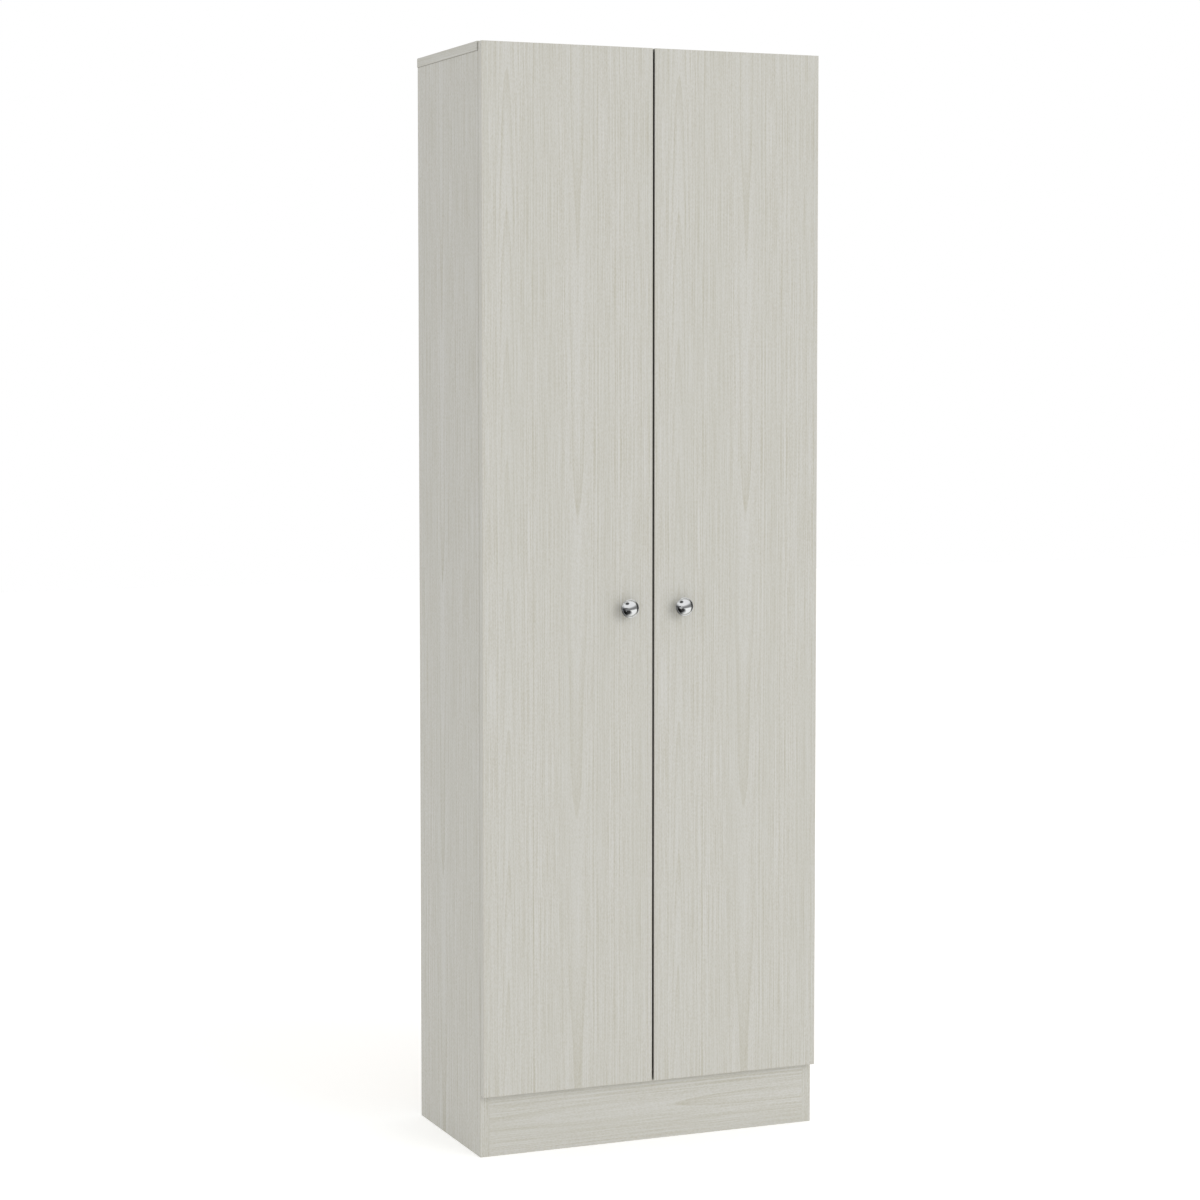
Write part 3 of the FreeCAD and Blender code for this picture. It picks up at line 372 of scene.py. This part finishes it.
# Metals, plated, pressed or cast from steel or zinc: bright and stained colour, least
# and greatest roughness, and the size in mm and depth in metres of the marks that the
# making left. A roughness that would fall below 0 is 0.
METALS = {
    # chrome over polished zinc: a true mirror, with the faintest haze where hands rub it
    "polished_chrome": ("#E4E5E6", "#D6D8DA", -0.90, 0.05, (6.0, 6.0, 6.0), 0.000002),
    # nickel over pressed steel: warm grey, rolled streaks, soft highlights
    "nickel_plated_pressed_steel": ("#DCD9D2", "#C6C2BA", 0.22, 0.36, (0.7, 5.0, 5.0), 0.00001),
    # zinc over turned steel: bluish grey and duller
    "zinc_plated_steel": ("#BFC2C7", "#9DA1A8", 0.32, 0.48, (0.8, 0.8, 2.5), 0.00001),
    # cast zinc alloy: dull, with a fine orange peel from the mould
    "die_cast_zinc": ("#A9A9AB", "#8C8C90", 0.45, 0.62, (1.6, 1.6, 1.6), 0.00003),
}
STAIN_MM = (14.0, 14.0, 14.0)  # size of the clouds in a metal's colour
# Painted dark reflection on the chrome of a knob's rim at two sides, one to the left and low, one to the right:
# which way a side lies, and how squarely the surface faces it where the painted dark starts and is full
PAINTED_DARK_SIDES = (((-0.90, 0.0, -0.44), 0.54, 0.72), ((0.99, 0.0, 0.12), 0.50, 0.64))
PAINTED_DARK_REFLECTION = "#46474A"
metals = {}
for name, (light, dark, smooth, rough, size, depth) in METALS.items():
    material, tree = new_material(name)
    coordinates = add(tree, PLACE)
    in_mm = add(tree, VECTOR, {0: coordinates.outputs["Object"], "Scale": PER_METRE}, operation="SCALE")
    scaled = add(tree, VECTOR, {0: in_mm, 1: size}, operation="DIVIDE")
    marks = add(tree, NOISE, {"Vector": scaled, "Scale": 1.0, "Detail": 4.0})
    stain_place = add(tree, VECTOR, {0: in_mm, 1: STAIN_MM}, operation="DIVIDE")
    stain = add(tree, NOISE, {"Vector": stain_place, "Scale": 1.0, "Detail": 2.0})
    colour = add(tree, BLEND, {0: stain, 6: linear(light), 7: linear(dark)}, data_type="RGBA")
    roughness = add(tree, RANGE, {0: marks, 1: 0.3, 2: 0.7, 3: smooth, 4: rough})
    roughness = add(tree, MATH, {0: roughness, 1: 0.0}, operation="MAXIMUM")
    further = {"Metallic": 1.0}
    if name == "polished_chrome":
        painted_dark_colour = linear(PAINTED_DARK_REFLECTION)
        glancing = linear("#FFFFFF")
        # painted reflection: the rim is painted dark, in its colour and its glancing tint, where it faces these
        # sides
        for side, start, full in PAINTED_DARK_SIDES:
            toward = add(tree, VECTOR, {0: coordinates.outputs["Normal"], 1: side}, operation="DOT_PRODUCT")
            painted_dark = add(tree, RANGE, {0: toward.outputs["Value"], 1: start, 2: full, 3: 0.0, 4: 0.9})
            colour = add(tree, BLEND, {0: painted_dark, 6: colour.outputs[2], 7: painted_dark_colour}, data_type="RGBA")
            glancing = add(tree, BLEND, {0: painted_dark, 6: glancing, 7: painted_dark_colour}, data_type="RGBA").outputs[2]
        further["Specular Tint"] = glancing
    finish_material(tree, colour.outputs[2], roughness, marks, depth, further)
    metals[name] = material

for side in ("left_", "right_"):
    give(metals["polished_chrome"], side + "knob")
    give(metals["nickel_plated_pressed_steel"], *[side + part for part in (
        "hinge_mounting_plates", "hinge_arms", "inner_hinge_links", "outer_hinge_links", "hinge_cups",
        "hinge_arm_pins", "hinge_cup_pins")])
    give(metals["zinc_plated_steel"], *[side + part for part in (
        "hinge_plate_screws", "hinge_arm_screws", "hinge_cup_screws", "knob_screw")])
give(metals["nickel_plated_pressed_steel"], "shelf_pins")
give(metals["zinc_plated_steel"], "cam_bolts", "back_panel_nails", "wall_brackets", "wall_bracket_screws")
give(metals["die_cast_zinc"], "cam_locks")


# Plastics and the dowels: light and dark colour, least and greatest roughness, the
# size of the grain in mm, its depth in metres, and what else the shader gets
MOULDED = {
    # polyethylene caps, made pale to match the boards: matte, moulded grain
    "moulded_polyethylene": ("#CBC9C0", "#BFBDB3", 0.42, 0.55, (0.9, 0.9, 0.9), 0.00002, {}),
    # soft clear polyurethane drops: glassy and slightly milky
    "clear_polyurethane": ("#F1F1EE", "#E6E6E1", 0.10, 0.22, (1.2, 1.2, 1.2), 0.00002,
                           {"Transmission Weight": 0.75, "IOR": 1.49}),
    # raw turned beech: pinkish tan with short dark flecks
    "turned_beech": ("#D3AE82", "#B88E61", 0.60, 0.75, (7.0, 0.9, 0.9), 0.00004, {}),
}
moulded = {}
for name, (light, dark, smooth, rough, size, depth, further) in MOULDED.items():
    material, tree = new_material(name)
    coordinates = add(tree, PLACE)
    in_mm = add(tree, VECTOR, {0: coordinates.outputs["Object"], "Scale": PER_METRE}, operation="SCALE")
    scaled = add(tree, VECTOR, {0: in_mm, 1: size}, operation="DIVIDE")
    marks = add(tree, NOISE, {"Vector": scaled, "Scale": 1.0, "Detail": 3.0})
    colour = add(tree, BLEND, {0: marks, 6: linear(light), 7: linear(dark)}, data_type="RGBA")
    roughness = add(tree, RANGE, {0: marks, 1: 0.3, 2: 0.7, 3: smooth, 4: rough})
    finish_material(tree, colour.outputs[2], roughness, marks, depth, further)
    moulded[name] = material
give(moulded["moulded_polyethylene"], "cam_cover_caps")
give(moulded["clear_polyurethane"], "left_door_bumpers", "right_door_bumpers")
give(moulded["turned_beech"], "wood_dowels")


# Studio: an even pale room, one large soft lamp far off at the front right, well above
# eye height, and a pale floor that glows a little, most just in front of the cabinet.
ROOM_LIGHT = 0.73  # the room's strength as light; it is seen as plain white, at 1
LAMP_WATTS = 500.0
LAMP_METRES = 7.2
LAMP_PLACE = (6.0, -12.5, 6.4)
LAMP_AIM = (0.0, 0.0, 0.9)  # the middle of the cabinet
FLOOR_METRES = 12  # from its middle to each side
FLOOR_GLOW, GLOW_IN_FRONT = 0.10, 0.18
GLOW_CENTRE = (0.35, -0.75, 0.0)
GLOW_FADES_FROM, GLOW_FADES_TO = 0.2, 1.5  # metres from that centre
FLOOR_LIFT = 0.42  # makes the floor white to the eye and adds no light


def seen_directly(tree):
    """1 for rays from the camera and rays by way of metal or glass, and 0 for light."""
    path = add(tree, LIGHT_PATH)
    either = {0: path.outputs["Is Camera Ray"], 1: path.outputs["Is Glossy Ray"]}
    either = add(tree, MATH, either, operation="MAXIMUM")
    return add(tree, MATH, {0: either, 1: path.outputs["Is Transmission Ray"]}, operation="MAXIMUM")


world = bpy.data.worlds.new("pale_room")
bpy.context.scene.world = world
world.use_nodes = True
world.node_tree.nodes.clear()
seen = seen_directly(world.node_tree)
room_strength = add(world.node_tree, RANGE, {0: seen, 3: ROOM_LIGHT, 4: 1.0})
# its light is a trace warmer than the white that is seen
room_colour = {0: seen, 6: linear("#FFFFFD"), 7: linear("#FFFFFF")}
room_colour = add(world.node_tree, BLEND, room_colour, data_type="RGBA")
room = {"Color": room_colour.outputs[2], "Strength": room_strength}
room = add(world.node_tree, "ShaderNodeBackground", room)
add(world.node_tree, "ShaderNodeOutputWorld", {"Surface": room})

# Opal acrylic: a matte pale sheet whose glow is painted light, shining onto the cabinet though no lamp lies
# under it, most just in front of the cabinet, so the shadow on it stays faint
floor_mesh = bpy.data.meshes.new("floor")
floor_corners = [(x * FLOOR_METRES, y * FLOOR_METRES, 0) for x, y in ((-1, -1), (1, -1), (1, 1), (-1, 1))]
floor_mesh.from_pydata(floor_corners, [], [(0, 1, 2, 3)])
floor = bpy.data.objects.new("floor", floor_mesh)
bpy.context.scene.collection.objects.link(floor)
material, tree = new_material("glowing_opal_acrylic")
floor_place = add(tree, PLACE)
floor_cloud = add(tree, NOISE, {"Vector": floor_place.outputs["Object"], "Scale": 1.5, "Detail": 2.0})
floor_colour = add(tree, BLEND, {0: floor_cloud, 6: linear("#EEEEED"), 7: linear("#EBEBEA")}, data_type="RGBA")
acrylic = add(tree, SURFACE, {"Base Color": floor_colour.outputs[2], "Roughness": 0.9})
# painted light: the floor glows as light onto the cabinet, strongest just in front of it
from_centre = add(tree, VECTOR, {0: floor_place.outputs["Object"], 1: GLOW_CENTRE}, operation="DISTANCE")
glow = {0: from_centre.outputs["Value"], 1: GLOW_FADES_FROM, 2: GLOW_FADES_TO, 3: GLOW_IN_FRONT, 4: FLOOR_GLOW}
glow = add(tree, RANGE, glow, interpolation_type="SMOOTHSTEP")
lift = add(tree, RANGE, {0: seen_directly(tree), 3: glow, 4: FLOOR_LIFT})
shining = add(tree, GLOW, {"Strength": lift})
add(tree, OUTPUT, {"Surface": add(tree, "ShaderNodeAddShader", {0: acrylic, 1: shining})})
floor_mesh.materials.append(material)

lamp_data = bpy.data.lights.new("soft_lamp", "AREA")
lamp_data.shape = "SQUARE"
lamp_data.size = LAMP_METRES
lamp_data.energy = LAMP_WATTS
lamp = bpy.data.objects.new("soft_lamp", lamp_data)
bpy.context.scene.collection.objects.link(lamp)
lamp.location = LAMP_PLACE
lamp.rotation_euler = (Vector(LAMP_AIM) - lamp.location).to_track_quat("-Z", "Y").to_euler()
lamp.visible_camera = False
lamp.visible_glossy = False

# Black and grey studio card with soft edges: a low ring all round that leans a little, a
# darker one at the front left, one on the floor there and a small one overhead. Only a
# mirror that is seen at first hand shows them, so they give the polished knobs their
# dark horizon and dark spots and leave the boards alone.
RING_POSTS = 64
RING_HEIGHT = 1.6  # metres


def soft_card(name, points, faces, grey, middle, clear, solid, lean=0.0):
    """A card that is solid near its middle and clear further out. Clear says how far
    from the middle it is all clear, in metres along X, Y and Z, and solid is the
    share of that way over which it stays solid. Lean lifts its right side, in degrees."""
    mesh = bpy.data.meshes.new(name)
    mesh.from_pydata(points, [], faces)
    card = bpy.data.objects.new(name, mesh)
    bpy.context.scene.collection.objects.link(card)
    card.rotation_euler = (0.0, math.radians(-lean), 0.0)
    for kind in ("camera", "diffuse", "transmission", "volume_scatter", "shadow"):
        setattr(card, "visible_" + kind, False)
    material, tree = new_material("black_card_" + name)
    coordinates = add(tree, PLACE)
    moved = add(tree, VECTOR, {0: coordinates.outputs["Object"], 1: middle}, operation="SUBTRACT")
    shares = add(tree, VECTOR, {0: moved, 1: clear}, operation="DIVIDE")
    length = add(tree, VECTOR, {0: shares}, operation="LENGTH")
    cover = {0: length.outputs["Value"], 1: solid, 2: 1.0, 3: 1.0, 4: 0.0}
    cover = add(tree, RANGE, cover, interpolation_type="SMOOTHSTEP")
    path = add(tree, LIGHT_PATH)
    first_hand = add(tree, MATH, {0: path.outputs["Diffuse Depth"], 1: 0.5}, operation="LESS_THAN")
    mirrored = add(tree, MATH, {0: path.outputs["Is Singular Ray"], 1: first_hand}, operation="MULTIPLY")
    cover = add(tree, MATH, {0: cover, 1: mirrored}, operation="MULTIPLY")
    dark = add(tree, GLOW, {"Color": linear(grey), "Strength": 1.0})
    seen = add(tree, "ShaderNodeMixShader", {0: cover, 1: add(tree, "ShaderNodeBsdfTransparent"), 2: dark})
    add(tree, OUTPUT, {"Surface": seen})
    mesh.materials.append(material)


for name, radius, grey, middle, clear, solid, lean in [
    ("horizon", 2.3, "#8C8C8C", (0.0, 0.0, 0.62), (1000.0, 1000.0, 1.05), 0.1, 13.0),
    ("horizon_front_left", 2.6, "#404040", (-2.0, -1.7, 0.50), (2.2, 2.4, 1.05), 0.40, 0.0),
]:
    turns = [post * math.tau / RING_POSTS for post in range(RING_POSTS)]
    posts = [
        (radius * math.cos(turn), radius * math.sin(turn), height)
        for height in (0.0, RING_HEIGHT) for turn in turns
    ]
    pairs = [(post, (post + 1) % RING_POSTS) for post in range(RING_POSTS)]
    walls = [(this, following, RING_POSTS + following, RING_POSTS + this) for this, following in pairs]
    soft_card(name, posts, walls, grey, middle, clear, solid, lean)
for name, left, right, front, back, height, grey, middle, clear, solid in [
    ("floor_front_left", -3.0, 0.6, -3.0, 0.2, 0.003, "#404040", (-1.2, -1.2, 0.0), (1.85, 1.8, 1.0), 0.60),
    ("overhead", -2.0, 0.2, -2.0, 0.3, 2.55, "#4E4E4E", (-0.92, -0.85, 2.55), (0.98, 0.92, 1.0), 0.5),
]:
    corners = [(left, front, height), (right, front, height), (right, back, height), (left, back, height)]
    soft_card(name, corners, [(0, 1, 2, 3)], grey, middle, clear, solid)

# The photograph's viewing angle: from the front left, at chest height, far back
camera_data = bpy.data.cameras.new("camera")
camera_data.sensor_width = 36.0
camera_data.lens = 86.76
camera_data.shift_y = -0.05
camera_data.clip_end = 60.0
camera = bpy.data.objects.new("camera", camera_data)
bpy.context.scene.collection.objects.link(camera)
camera.location = (-1.9063, -4.4742, 1.2814)
camera.rotation_euler = (math.radians(90 - 3.41), 0.0, math.radians(-22.69))
bpy.context.scene.camera = camera
bpy.context.scene.view_settings.view_transform = "Standard"
